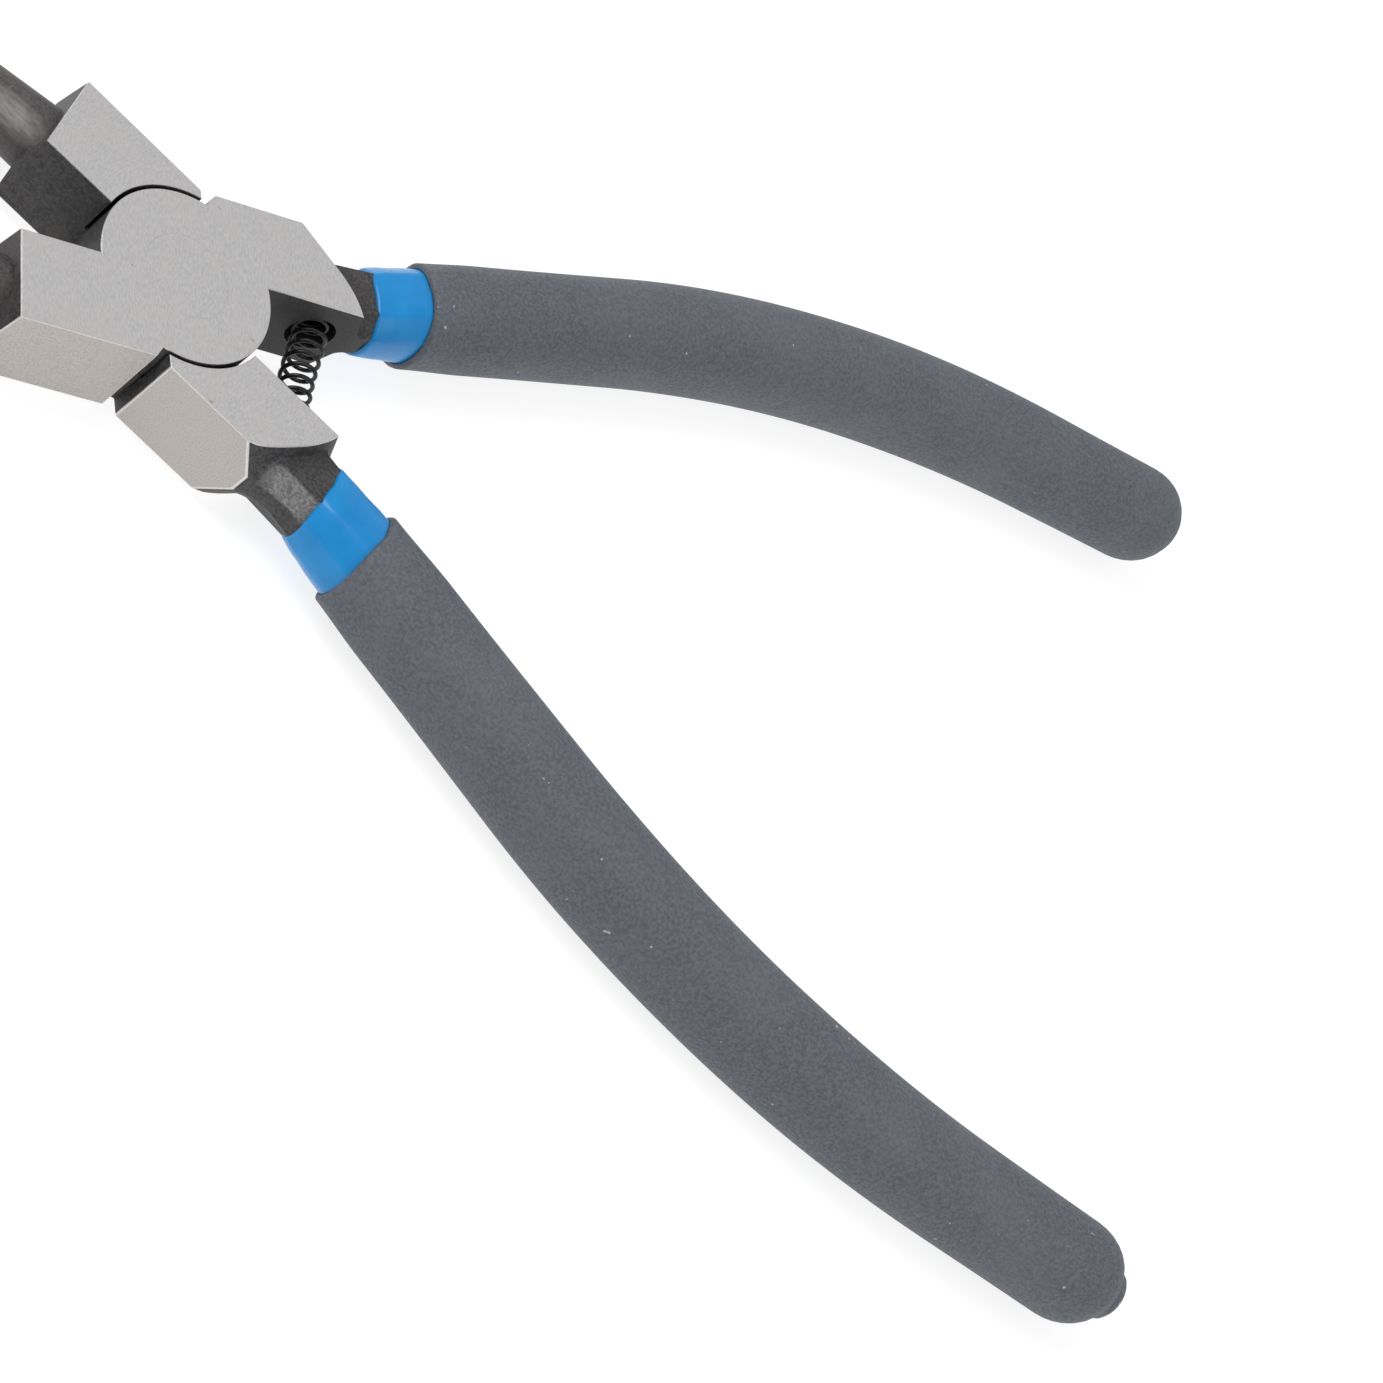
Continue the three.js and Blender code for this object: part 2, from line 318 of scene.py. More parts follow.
def cut_away(obj, point, normal):
    """Cuts off what lies beyond a plane and closes the cut."""
    bm = bmesh.new()
    bm.from_mesh(obj.data)
    everything = bm.verts[:] + bm.edges[:] + bm.faces[:]
    bmesh.ops.bisect_plane(bm, geom=everything, plane_co=point, plane_no=normal, clear_outer=True)
    open_edges = [e for e in bm.edges if e.is_boundary]
    bmesh.ops.contextual_create(bm, geom=open_edges)
    bmesh.ops.recalc_face_normals(bm, faces=bm.faces)
    bm.to_mesh(obj.data)
    bm.free()
    return obj


def arc(radius, start, end):
    """Points on a circle about the origin, from one angle to another, both included."""
    steps = max(2, round(abs(end - start) / ARC_STEP))
    angles = [start + (end - start) * i / steps for i in range(steps + 1)]
    return [(radius * math.cos(a), radius * math.sin(a)) for a in angles]


def interpolate(table, at):
    """The values of a table's row at a place between its rows, without any corner."""
    at = min(max(at, table[0][0]), table[-1][0])
    for low, high in zip(table, table[1:]):
        if at <= high[0]:
            share = (at - low[0]) / (high[0] - low[0])
            share = share * share * (3 - 2 * share)
            return [a + (b - a) * share for a, b in zip(low[1:], high[1:])]


# ---------------------------------------------------------------- the bar's line and sections

def bar_place(distance):
    """The bar's middle and heading at a distance from the collar's front edge."""
    bend_length = BEND_RADIUS * BEND_ANGLE
    bent = min(max(distance - BEND_START, 0), bend_length)
    heading = BAR_HEADING - bent / BEND_RADIUS
    before = min(distance, BEND_START)
    after = max(distance - BEND_START - bend_length, 0)
    x = COLLAR_START[0] + before * math.cos(BAR_HEADING) + after * math.cos(heading)
    x += BEND_RADIUS * (math.sin(BAR_HEADING) - math.sin(heading))
    y = COLLAR_START[1] + before * math.sin(BAR_HEADING) + after * math.sin(heading)
    y += BEND_RADIUS * (math.cos(heading) - math.cos(BAR_HEADING))
    return x, y, heading


def octagon_point(angle, flare):
    """A point on an octagon of half sizes 1. On the outer side its top flat is wider by flare."""
    top_flat = TOP_FLAT + (flare if math.cos(angle) < 0 else 0)
    folded = math.atan2(abs(math.sin(angle)), abs(math.cos(angle)))
    stops = [(0, 1, 0), (SIDE_CORNER, 1, SIDE_FLAT), (TOP_CORNER, top_flat, 1), (math.pi / 2, 0, 1)]
    for low, high in zip(stops, stops[1:]):
        if folded <= high[0] + 1e-9:
            share = (folded - low[0]) / (high[0] - low[0])
            across = low[1] + (high[1] - low[1]) * share
            up = low[2] + (high[2] - low[2]) * share
            return math.copysign(across, math.cos(angle)), math.copysign(up, math.sin(angle))


def section_point(angle, octagonal, flare):
    """A point on a section between a soft square and an octagon, both of half sizes 1."""
    power = SECTION_SQUARENESS
    soft = (abs(math.cos(angle)) ** power + abs(math.sin(angle)) ** power) ** (-1 / power)
    across, up = octagon_point(angle, flare)
    round_share = 1 - octagonal
    return (across * octagonal + math.cos(angle) * soft * round_share,
            up * octagonal + math.sin(angle) * soft * round_share)


def bar_point(distance, angle, margin, scale=1, softness=0.0):
    """A point on the bar's surface, moved outwards by margin. Angle 0 faces the other bar."""
    x, y, heading = bar_place(distance)
    half_width, half_height, octagonal = interpolate(BAR_SECTIONS, distance)
    flare = NECK_FLARE * min(max(-distance / NECK_FLARE_LENGTH, 0), 1)
    across, up = section_point(angle, octagonal * (1 - softness), flare)
    side = (half_width + margin) * across * scale
    return x + side * math.sin(heading), y - side * math.cos(heading), (half_height + margin) * up * scale


def ring_angles():
    return [2 * math.pi * i / AROUND for i in range(AROUND)]


# ---------------------------------------------------------------- one forging

def from_parting(z):
    """How far below the top, or above the bottom, a height is; the parting line is rounded."""
    return HALF_THICKNESS - math.hypot(z, PARTING_ROUND)


def shoulder_end(y, z, back):
    """How far back the shoulder block reaches at a place across it and a height."""
    bent = max(END_BEND - y, 0)
    from_outer = min(max((SHOULDER_OUTER - y) / END_BULGE_LENGTH, 0), 1)
    top = END_CORNER[back] + END_SLANT[back] * (SHOULDER_OUTER - y) - END_CURVE * bent ** 2
    top += END_BULGE[back] * math.sqrt(from_outer) * (1 - from_outer) ** 2
    share = (y - SHOULDER_INNER) / (SHOULDER_OUTER - SHOULDER_INNER)
    draft = END_DRAFT_INNER + (END_DRAFT_OUTER - END_DRAFT_INNER) * share
    return top + draft * (HALF_THICKNESS - max(abs(z), END_BAND))


def jaw_front(place, z):
    """How far forward the jaw block reaches at a height; its front face is drafted too."""
    return place - math.tan(FRONT_DRAFT) * from_parting(z)


def head_outline(z, back):
    """Jaw block, boss and shoulder block cut through at a height."""
    def on_boss(y):
        return math.sqrt(BOSS_RADIUS ** 2 - y ** 2)

    jaw_root_x = JAW_BACK + JAW_BACK_SLANT
    jaw_root = math.atan2(-on_boss(jaw_root_x), jaw_root_x)
    notch_x = SHOULDER_FRONT - SHOULDER_FRONT_SLANT
    notch = math.atan2(on_boss(notch_x), notch_x)
    jaw_top = math.pi - math.asin(JAW_INNER / BOSS_RADIUS)
    step = (SHOULDER_OUTER - SHOULDER_INNER) / END_STEPS
    across = [SHOULDER_INNER + step * i for i in range(END_STEPS + 1)]
    return [
        (jaw_front(JAW_FRONT_INNER, z), JAW_INNER),
        (jaw_front(JAW_FRONT_OUTER, z), JAW_OUTER),
        (JAW_BACK, JAW_OUTER),
        *arc(BOSS_RADIUS, jaw_root, math.asin(SHOULDER_INNER / BOSS_RADIUS)),
        *[(shoulder_end(y, z, back), y) for y in across],
        (SHOULDER_FRONT, SHOULDER_OUTER),
        *arc(BOSS_RADIUS, notch, jaw_top),
    ]


def head(back):
    above = [*HEAD_HEIGHTS, HALF_THICKNESS]
    heights = [-z for z in reversed(above)] + [0] + above
    return loft("forging", [[(x, y, z) for x, y in head_outline(z, back)] for z in heights])


def neck_foot(angle, extra, back):
    """Where the neck, widened by extra, meets the shoulder's end, as a distance along the bar."""
    low, high = NECK_SEARCH
    for _ in range(NECK_SEARCH_STEPS):
        middle = (low + high) / 2
        x, y, z = bar_point(middle, angle, extra)
        low, high = (low, middle) if x > shoulder_end(y, z, back) else (middle, high)
    return high


def fillet_room(angle):
    """How wide the neck's fillet can be at an angle without leaving the shoulder block."""
    z = bar_point(NECK_MIDDLE, angle, 0)[2]
    outer = max(-math.cos(angle), 0)
    wanted = FILLET_WIDTH + (FILLET_WIDTH_OUTER - FILLET_WIDTH) * outer ** 4
    room_up = (HALF_THICKNESS - FILLET_BELOW_TOP - abs(z)) / max(abs(math.sin(angle)), FILLET_LEAST)
    return max(FILLET_LEAST, min(wanted, room_up))


def neck_and_bar(back):
    """The octagonal neck grows out of the shoulder with a hollow fillet and runs on as the bar."""
    angles = ring_angles()
    rooms = [fillet_room(a) for a in angles]
    rings = [[
        bar_point(neck_foot(a, room, back) - NECK_EMBED, a, room) for a, room in zip(angles, rooms)
    ]]
    for k in range(FILLET_STEPS + 1):
        share = k / FILLET_STEPS
        ring = []
        for a, room in zip(angles, rooms):
            extra = room * (1 - share)
            rise = FILLET_SLOPE * room * share ** FILLET_POWER
            ring.append(bar_point(neck_foot(a, extra, back) + rise, a, extra))
        rings.append(ring)
    straight_end = BAR_END - BAR_END_ROUND
    count = math.ceil((straight_end - BEND_START) / BAR_RING_STEP)
    distances = [*NECK_RINGS, *[BEND_START + BAR_RING_STEP * i for i in range(count)]]
    for distance in distances:
        rings.append([bar_point(distance, a, 0) for a in angles])
    for i in range(END_ROUND_STEPS + 1):
        swing = BAR_END_SWING * i / END_ROUND_STEPS
        distance = BAR_END - BAR_END_ROUND * (1 - math.sin(swing))
        rings.append([bar_point(distance, a, 0, math.cos(swing)) for a in angles])
    return cut_away(loft("neck_and_bar", rings), (0, SHOULDER_INNER, 0), (0, -1, 0))


def nose():
    """The tapered round nose with a rounded end and a bore for the tip pin."""
    root = NOSE_ROOT_RADIUS
    tip = NOSE_TIP_RADIUS
    profile = [(root, -NOSE_EMBED), (root, 0.0)]
    for k in range(1, NOSE_STEPS + 1):
        share = k / NOSE_STEPS
        profile.append((root + (tip - root) * share, (NOSE_LENGTH - TIP_ROUND) * share))
    for k in (1, 2, 3):
        swing = 30 * k * DEGREE
        profile.append((tip - TIP_ROUND * (1 - math.cos(swing)),
                        NOSE_LENGTH - TIP_ROUND * (1 - math.sin(swing))))
    return along(turned("nose", profile), NOSE_ROOT, NOSE_HEADING)


def pin_bore():
    bore = PIN_RADIUS + PIN_GAP
    body = turned("bore", [(bore, NOSE_LENGTH - PIN_DEPTH), (bore, NOSE_LENGTH + CUT_PAST)], PIN_SIDES)
    return along(body, NOSE_ROOT, NOSE_HEADING)


def rivet_profile(margin, over=0.0):
    """The rivet's outline with a countersunk head at each end, run out past both faces by over."""
    half = HALF_THICKNESS + over
    neck = HALF_THICKNESS - RIVET_HEAD_DEPTH
    shank = RIVET_RADIUS + margin
    head = RIVET_HEAD_RADIUS + margin
    if over:
        mouth = head + over * (head - shank) / RIVET_HEAD_DEPTH
        return [(mouth, -half), (shank, -neck), (shank, neck), (mouth, half)]
    return [(head, -half), (shank, -neck), (shank, neck), (head, half)]


def forging_body(back):
    body = head(back)
    low = -HALF_THICKNESS - CUT_PAST
    room = BOSS_RADIUS + BOSS_GAP
    combine(body, turned("lap", [(room, low), (room, LAP_GAP / 2)], LAP_SIDES), "DIFFERENCE")
    combine(body, neck_and_bar(back), "UNION")
    combine(body, nose(), "UNION")
    combine(body, pin_bore(), "DIFFERENCE")
    profile = [(POCKET_RADIUS, -2 * CUT_PAST), (POCKET_RADIUS, POCKET_DEPTH)]
    pocket = turned("pocket", profile, POCKET_SIDES)
    along(pocket, (POCKET_PLACE, SHOULDER_INNER), 90)
    combine(body, pocket, "DIFFERENCE")
    rivet_hole = turned("rivet_hole", rivet_profile(RIVET_GAP, over=CUT_PAST / 2))
    combine(body, rivet_hole, "DIFFERENCE")
    return body


# A face's finish is its material's place in the forging's list.
BLACK, GROUND, GROUND_SIDE_SHADED = 0, 1, 2
FLAT = 1e-3
CLEANING = 0.004
COPLANAR = 0.2 * DEGREE
GROUND_EDGE = 0.14
RIVET_ROOM = 5
SHARP = 24 * DEGREE
SHADED_SHARP = 28.8 * DEGREE


def face_finish(face):
    """The head's top, bottom and outer side faces are ground; the rest stays black."""
    middle = face.calc_center_median()
    if abs(face.normal.z) > 1 - FLAT and abs(abs(middle.z) - HALF_THICKNESS) < FLAT:
        return GROUND
    # The outer side faces get the darker ground copy: painted shade.
    if abs(face.normal.y) > 1 - FLAT:
        if abs(middle.y - JAW_OUTER) < FLAT or abs(middle.y - SHOULDER_OUTER) < FLAT:
            return GROUND_SIDE_SHADED
    return BLACK


def finish_forging(body):
    """Cleans the joined body, marks its ground faces and softens their edges, except at the rivet."""
    bm = bmesh.new()
    bm.from_mesh(body.data)
    bmesh.ops.remove_doubles(bm, verts=bm.verts, dist=CLEANING)
    bmesh.ops.dissolve_degenerate(bm, edges=bm.edges, dist=CLEANING)
    bmesh.ops.dissolve_limit(bm, angle_limit=COPLANAR, verts=bm.verts, edges=bm.edges)
    bm.normal_update()
    for face in bm.faces:
        face.material_index = face_finish(face)
        face.smooth = True
    ground_edges = [
        e for e in bm.edges
        if len(e.link_faces) == 2 and e.calc_face_angle(0) > SHARP
        and any(f.material_index != BLACK for f in e.link_faces)
        and e.verts[0].co.xy.length > RIVET_ROOM
    ]
    bmesh.ops.bevel(
        bm, geom=ground_edges, offset=GROUND_EDGE, offset_type="OFFSET", segments=2, profile=0.5,
        affect="EDGES", clamp_overlap=True, material=GROUND, loop_slide=True,
    )
    bm.normal_update()
    bm.to_mesh(body.data)
    bm.free()
    body.data.set_sharp_from_angle(angle=SHADED_SHARP)


def weigh_normals(obj):
    weigh = obj.modifiers.new("weighted_normals", "WEIGHTED_NORMAL")
    weigh.keep_sharp = True
    weigh.weight = 100


# ---------------------------------------------------------------- placing a half's pieces

def half_matrix(back):
    """Where a half's own frame, in millimetres, lies in the row frame, in metres."""
    lift = Matrix.Translation((0, 0, HALF_THICKNESS * MM))
    sign = -1 if back else 1
    opened = Matrix.Rotation(sign * OPEN_ANGLE / 2 * DEGREE, 4, "Z")
    turned_over = Matrix.Rotation(math.pi, 4, "X") if back else Matrix.Identity(4)
    return lift @ opened @ turned_over


def remember_place(obj):
    """Keeps each point's place in its own half, in millimetres, for the materials' patterns."""
    points = [value for vertex in obj.data.vertices for value in vertex.co]
    obj.data.attributes.new(PLACE, "FLOAT_VECTOR", "POINT").data.foreach_set("vector", points)


def place(obj, name, back, node, slot, *finishes):
    """Names a piece, brings it to its place in metres and lets it stand for its CAD node."""
    obj.name = name
    obj.data.name = name
    remember_place(obj)
    obj.data.transform(half_matrix(back) @ Matrix.Scale(MM, 4))
    for finish in finishes:
        obj.data.materials.append(finish)
    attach(obj, "back_half" if back else "front_half")
    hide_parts(node)
    return obj


# ---------------------------------------------------------------- coats

def coat_point(distance, angle, margin, scale=1):
    """A point on a coat, whose vinyl rounds off the corners of the steel under it."""
    return bar_point(distance, angle, margin, scale, COAT_SOFTNESS)


def coat_ring(distance, margin, start, drift):
    """A ring round the bar. Near the open end it wanders, because a dip line is never square."""
    fade = max(0.0, 1 - (distance - start) / DRIFT_FADE) ** 2
    return [coat_point(distance + drift(a) * fade, a, margin) for a in ring_angles()]


def tail_rings(end, margin):
    """Rings of a round closed end, from its root to its tip."""
    rings = []
    for i in range(TAIL_STEPS + 1):
        swing = TAIL_SWING * i / TAIL_STEPS
        distance = end - (TAIL_ROUND + margin) * (1 - math.sin(swing))
        size = math.cos(swing) ** TAIL_BLUNTNESS
        rings.append([coat_point(distance, a, margin, size) for a in ring_angles()])
    return rings


def drip_rings(end):
    """The flat drop that the last of the grey dip leaves on the round end."""
    rings = []
    for size, reach in DRIP_STEPS:
        rings.append([coat_point(end + reach, a, GRIP_OUTSIDE, size) for a in ring_angles()])
    return rings


def coat(start, end, inside_end, inside, outside, round_lip, drift, bead=0.0, drip=False):
    """A coat of vinyl over the bar, open at the front, closed and round at the back."""
    rings = list(reversed(tail_rings(inside_end, inside)))
    inside_stop = inside_end - TAIL_ROUND - inside
    for i in range(1, COAT_INSIDE_STEPS + 1):
        distance = inside_stop + (start - inside_stop) * i / COAT_INSIDE_STEPS
        rings.append(coat_ring(distance, inside, start, drift))
    for i in range(1, COAT_LIP_STEPS + 1):
        swing = math.pi / 2 * i / COAT_LIP_STEPS
        distance = start + round_lip * (1 - math.cos(swing))
        margin = inside + (outside - inside) * math.sin(swing)
        rings.append(coat_ring(distance, margin, start, drift))
    first = start + round_lip
    for step in BEAD_STEPS:
        swell = bead * math.sin(math.pi * step / BEAD_STEPS[-1])
        rings.append(coat_ring(first + step, outside + swell, start, drift))
    straight = first + BEAD_STEPS[-1]
    straight_end = end - TAIL_ROUND - outside
    for i in range(1, COAT_STEPS):
        distance = straight + (straight_end - straight) * i / COAT_STEPS
        rings.append(coat_ring(distance, outside, start, drift))
    tail = tail_rings(end, outside)
    rings += tail[:DRIP_FROM] + drip_rings(end) if drip else tail
    return smooth(loft("coat", rings))


def dip_line(dip, ripple):
    """How far behind its start a dip's edge lies: early on the inner side, late on the outer side."""
    middle, late, early = dip
    size, waves, phase = ripple

    def drift(angle):
        inner = max(math.cos(angle), 0)
        outer = max(-math.cos(angle), 0)
        return middle + late * outer ** 2 - early * inner + size * math.sin(waves * angle + phase)

    return drift


# ---------------------------------------------------------------- small pieces

def spring_axis(y):
    """How far from the pivot the spring's middle line runs. It bends to lead into both pockets."""
    share = y / SPRING_REACH
    return SPRING_MIDDLE + SPRING_BOW_OUT * share ** 2 - SPRING_BOW_IN * share ** 4


def spring():
    """The return spring: a helix along its bent middle line, with closed ends."""
    count = round(SPRING_TURNS * SPRING_STEPS_PER_TURN)
    closed = SPRING_CLOSED_TURNS / SPRING_TURNS
    closed_pitch = 2 * SPRING_WIRE_RADIUS * SPRING_CLOSED_PITCH
    closed_length = closed_pitch * SPRING_CLOSED_TURNS / (2 * SPRING_REACH)

    def share_along(t):
        if t < closed:
            return closed_length * t / closed
        if t > 1 - closed:
            return 1 - closed_length * (1 - t) / closed
        middle = (t - closed) / (1 - 2 * closed)
        return closed_length + (1 - 2 * closed_length) * middle

    def outward_and_centre(t):
        """The direction away from the pivot, square to the middle line, and the middle line's point."""
        y = SPRING_REACH * (2 * share_along(t) - 1)
        slope = (spring_axis(y + NUDGE) - spring_axis(y - NUDGE)) / (2 * NUDGE)
        return Vector((1, -slope, 0)).normalized(), Vector((spring_axis(y), y, HALF_THICKNESS))

    def point(t):
        out, centre = outward_and_centre(t)
        turn = 2 * math.pi * SPRING_TURNS * t
        return centre + SPRING_COIL_RADIUS * (out * math.cos(turn) - Vector((0, 0, math.sin(turn))))

    rings = []
    for i in range(count + 1):
        t = i / count
        here = point(t)
        ahead = (point(t + NUDGE / 20) - point(t - NUDGE / 20)).normalized()
        normal = here - outward_and_centre(t)[1]
        side = ahead.cross(normal).normalized()
        normal = side.cross(ahead)
        ring = []
        for k in range(SPRING_WIRE_SIDES):
            a = 2 * math.pi * k / SPRING_WIRE_SIDES
            ring.append(here + (normal * math.cos(a) + side * math.sin(a)) * SPRING_WIRE_RADIUS)
        rings.append(ring)
    return smooth(loft("coil_spring", rings))


def pin():
    """A turned tip pin with a chamfered end."""
    bottom = NOSE_LENGTH - PIN_DEPTH
    end = NOSE_LENGTH + PIN_REACH
    profile = [
        (PIN_RADIUS - PIN_CHAMFER, bottom),
        (PIN_RADIUS, bottom + PIN_CHAMFER),
        *[(PIN_RADIUS - inwards, end - short) for inwards, short in PIN_END],
    ]
    body = along(turned("pin", profile, PIN_SIDES), NOSE_ROOT, NOSE_HEADING)
    smooth(body)
    body.data.set_sharp_from_angle(angle=TURNED_SHARP)
    return body


# ---------------------------------------------------------------- materials

# Dark, light and cloud colours of the ground faces. The outer side faces take a duller, darker and a
# little yellow copy, whose darkness is painted shade.
TOP_GRIND = ((0.56, 0.55, 0.55), (0.7, 0.69, 0.695), (0.66, 0.645, 0.625))
SIDE_GRIND_SHADED = ((0.385, 0.36, 0.34), (0.5, 0.475, 0.455), (0.46, 0.43, 0.395))

# Places in a half's own frame where the black forging shows wear, painted highlights and painted shade
NOSE_MIDDLE = (-32, -3, 0)
NOSE_HIGHLIGHT_STREAK = (-20.8, -1.75, -2.4)
NECK_RUB_AND_HIGHLIGHT = (20, 8.1, -2.3)
NECK_RUB_AND_HIGHLIGHT_HEIGHTS = (-3.2, -0.6)
POCKET_SHADE = (15.5, 1.3, 0)


class Finish:
    """A material under construction: a Principled shader fed by patterns in the piece's own space."""

    def __init__(self, name, colour, roughness, metallic=0.0, specular=0.5, coat=0.0, coat_roughness=0.1):
        self.material = bpy.data.materials.new(name)
        self.material.use_nodes = True
        self.tree = self.material.node_tree
        self.shader = self.tree.nodes["Principled BSDF"]
        self.set("Base Color", (*colour, 1))
        self.set("Roughness", roughness)
        self.set("Metallic", metallic)
        self.set("Specular IOR Level", specular)
        self.set("Coat Weight", coat)
        self.set("Coat Roughness", coat_roughness)
        coordinates = self.tree.nodes.new("ShaderNodeAttribute")
        coordinates.attribute_name = PLACE
        self.place = coordinates.outputs["Vector"]

    def set(self, socket, value):
        self.shader.inputs[socket].default_value = value

    def link(self, output, socket):
        self.tree.links.new(output, socket)

    def stretched(self, x, y, z, turn=0.0):
        """Millimetre coordinates, stretched and turned about Z, for a grain with a direction."""
        node = self.tree.nodes.new("ShaderNodeMapping")
        node.inputs["Scale"].default_value = (x, y, z)
        node.inputs["Rotation"].default_value = (0, 0, turn)
        self.link(self.place, node.inputs["Vector"])
        return node.outputs["Vector"]

    def noise(self, scale, detail=2.0, roughness=0.5, vector=None):
        node = self.tree.nodes.new("ShaderNodeTexNoise")
        node.inputs["Scale"].default_value = scale
        node.inputs["Detail"].default_value = detail
        node.inputs["Roughness"].default_value = roughness
        self.link(vector or self.place, node.inputs["Vector"])
        return node.outputs["Fac"]

    def remap(self, value, low, high, to_low=0.0, to_high=1.0):
        node = self.tree.nodes.new("ShaderNodeMapRange")
        node.inputs["From Min"].default_value = low
        node.inputs["From Max"].default_value = high
        node.inputs["To Min"].default_value = to_low
        node.inputs["To Max"].default_value = to_high
        self.link(value, node.inputs["Value"])
        return node.outputs["Result"]

    def math(self, operation, a, b=None):
        node = self.tree.nodes.new("ShaderNodeMath")
        node.operation = operation
        for value, socket in ((a, node.inputs[0]), (b, node.inputs[1])):
            if isinstance(value, (int, float)):
                socket.default_value = value
            elif value is not None:
                self.link(value, socket)
        return node.outputs[0]

    def mix(self, share, a, b):
        """A colour between a and b, each a colour or an output."""
        node = self.tree.nodes.new("ShaderNodeMix")
        node.data_type = "RGBA"
        self.link(share, node.inputs["Factor"])
        for value, socket in ((a, node.inputs[6]), (b, node.inputs[7])):
            if isinstance(value, tuple):
                socket.default_value = (*value, 1)
            else:
                self.link(value, socket)
        return node.outputs[2]

    def near(self, centre, radius, softness, squeeze=1.0):
        """1 near a place in millimetres, 0 past a radius, which squeeze makes longer along X."""
        node = self.tree.nodes.new("ShaderNodeVectorMath")
        node.operation = "DISTANCE"
        node.inputs[1].default_value = (centre[0] * squeeze, centre[1], centre[2])
        self.link(self.stretched(squeeze, 1, 1), node.inputs[0])
        return self.remap(node.outputs["Value"], radius, radius - softness)

    def band(self, low, high, softness):
        """1 between two heights in millimetres, 0 above and below."""
        node = self.tree.nodes.new("ShaderNodeSeparateXYZ")
        self.link(self.place, node.inputs[0])
        height = node.outputs["Z"]
        above = self.remap(height, low, low + softness)
        return self.math("MULTIPLY", above, self.remap(height, high, high - softness))

    def colour(self, output):
        self.link(output, self.shader.inputs["Base Color"])

    def roughness(self, output):
        self.link(output, self.shader.inputs["Roughness"])

    def bump(self, height, depth, strength):
        """Bumps of a height pattern, depth in millimetres."""
        node = self.tree.nodes.new("ShaderNodeBump")
        node.inputs["Distance"].default_value = depth * MM
        node.inputs["Strength"].default_value = strength
        self.link(height, node.inputs["Height"])
        self.link(node.outputs["Normal"], self.shader.inputs["Normal"])


def ground_steel(name, dark, light, cloud):
    """Bright steel off a fine belt: a short grain across the tool, faint clouds and a few rust specks."""
    finish = Finish(name, light, 0.42, metallic=1.0)
    grain = finish.noise(1, 3, 0.6, finish.stretched(7, 1.8, 6))
    clouds = finish.noise(0.35, 3, 0.6)
    tone = finish.mix(finish.remap(grain, 0.36, 0.64), dark, light)
    tone = finish.mix(finish.remap(clouds, 0.4, 0.65, 0, 0.35), tone, cloud)
    specks = finish.remap(finish.noise(1.1, 2, 0.5), 0.735, 0.78, 0, 0.6)
    finish.colour(finish.mix(specks, tone, (0.3, 0.17, 0.09)))
    finish.roughness(finish.remap(grain, 0.35, 0.65, 0.49, 0.39))
    fine = finish.noise(9, 3, 0.6)
    finish.bump(finish.math("ADD", grain, fine), 0.01, 0.6)
    return finish.material


def black_steel():
    """Phosphated forging: near black, finely speckled, worn lighter where handled, with painted
    highlights and shade.
    """
    finish = Finish("black_phosphate", (0.055, 0.053, 0.055), 0.5, metallic=0.3, specular=0.35)
    speckle = finish.noise(3, 4, 0.7)
    clouds = finish.noise(0.5, 3, 0.6)
    tone = finish.mix(finish.remap(speckle, 0.4, 0.62), (0.028, 0.027, 0.029), (0.082, 0.079, 0.08))
    tone = finish.mix(finish.remap(clouds, 0.45, 0.75, 0, 0.5), tone, (0.09, 0.078, 0.07))
    scratches = finish.noise(1, 2, 0.5, finish.stretched(9, 0.55, 3, 0.5))
    tone = finish.mix(finish.remap(scratches, 0.7, 0.74, 0, 0.55), tone, (0.28, 0.27, 0.25))
    lines = finish.noise(1, 3, 0.6, finish.stretched(0.6, 3, 3))
    worn = finish.near(NOSE_MIDDLE, 16, 5)
    bare = finish.math("MULTIPLY", worn, finish.remap(lines, 0.3, 0.7, 0.15, 0.6))
    tone = finish.mix(bare, tone, (0.15, 0.138, 0.135))
    # A lighter streak on the nose: painted highlight in place of the light's reflection, partly brushed
    # wear.
    highlight_streak = finish.near(NOSE_HIGHLIGHT_STREAK, 1.9, 1.7, 0.4)
    brushed_and_highlight = finish.math("MULTIPLY", highlight_streak, finish.remap(lines, 0.3, 0.7, 0.4, 0.9))
    tone = finish.mix(brushed_and_highlight, tone, (0.36, 0.34, 0.335))
    # A lighter patch on the neck's chamfer: partly rubbed wear, partly painted highlight along the
    # crease.
    low, high = NECK_RUB_AND_HIGHLIGHT_HEIGHTS
    rubbed_and_highlight = finish.math("MULTIPLY", finish.near(NECK_RUB_AND_HIGHLIGHT, 3.2, 1.5, 0.85), finish.band(low, high, 0.3))
    rubbed_and_highlight = finish.math("MULTIPLY", rubbed_and_highlight, finish.remap(speckle, 0.4, 0.6, 0.4, 1))
    tone = finish.mix(rubbed_and_highlight, tone, (0.25, 0.25, 0.25))
    # Darker round the spring pocket: painted shade in the recess.
    pocket_shade = finish.near(POCKET_SHADE, 8, 3.5)
    finish.colour(finish.mix(finish.math("MULTIPLY", pocket_shade, 0.6), tone, (0.014, 0.013, 0.013)))
    finish.roughness(finish.remap(speckle, 0.35, 0.65, 0.42, 0.6))
    finish.bump(finish.math("ADD", speckle, finish.noise(1.3, 2, 0.5)), 0.04, 0.5)
    return finish.material


